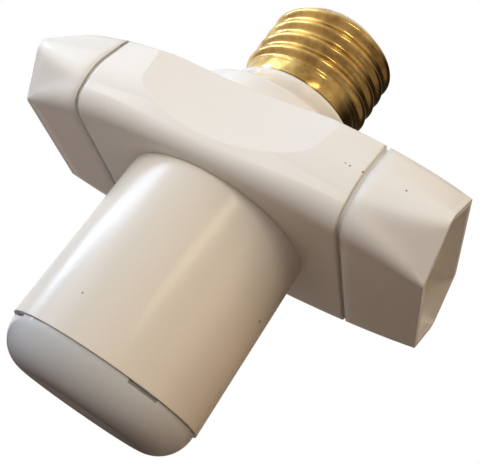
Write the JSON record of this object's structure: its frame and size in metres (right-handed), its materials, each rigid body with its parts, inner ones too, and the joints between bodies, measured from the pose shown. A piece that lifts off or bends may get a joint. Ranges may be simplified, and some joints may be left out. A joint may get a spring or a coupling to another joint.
{
  "type": "lamp socket adapter",
  "caption": "White lamp socket adapter with a brass screw cap, a hexagonal crossbar with an open plug recess at each end and a built-in tubular lamp with a milky end.",
  "frame": {"origin": "on the screw cap's axis, where the cap's skirt sits on the collar", "axes": "+Z along the screw cap towards its tip, X along the crossbar from recess to recess, Y across it"},
  "size_m": [0.0876, 0.0476, 0.0971],
  "materials": {
    "white_plastic": "satin gloss, warm white",
    "milky_plastic": "smooth, milky",
    "cap_brass": "drawn, bright",
    "ivory_insulator": "smooth",
    "contact_brass": "bright",
    "carrier_plastic": "plain",
    "brown_wire": "plain",
    "blue_wire": "plain",
    "white_wire": "plain",
    "spreader_aluminium": "plain",
    "white_board": "solder mask",
    "green_board": "solder mask",
    "phosphor": "smooth",
    "black_sleeve": "smooth",
    "ferrite": "plain",
    "resistor_body": "plain",
    "screw_steel": "plain"
  },
  "bodies": {
    "root": {"cap_shell": "cap_brass", "cap_insulator": "ivory_insulator", "centre_contact": "contact_brass", "main_housing": "white_plastic", "left_socket_shell": "white_plastic", "right_socket_shell": "white_plastic", "left_contact_carrier": "carrier_plastic", "right_contact_carrier": "carrier_plastic", "left_live_sleeve": "contact_brass", "left_neutral_sleeve": "contact_brass", "right_live_sleeve": "contact_brass", "right_neutral_sleeve": "contact_brass", "live_rail": "contact_brass", "neutral_rail": "contact_brass", "live_lead": "brown_wire", "neutral_lead": "blue_wire", "lamp_live_lead": "brown_wire", "lamp_neutral_lead": "blue_wire", "lamp_tube": "white_plastic", "diffuser": "milky_plastic", "heat_spreader": "spreader_aluminium", "led_board": "white_board", "led_chips": "phosphor", "board_screws": "screw_steel", "driver_board": "green_board", "driver_capacitor": "black_sleeve", "driver_inductor": "ferrite", "driver_rectifier": "black_sleeve", "fuse_resistor": "resistor_body", "led_leads": "white_wire"}
  },
  "joints": []
}
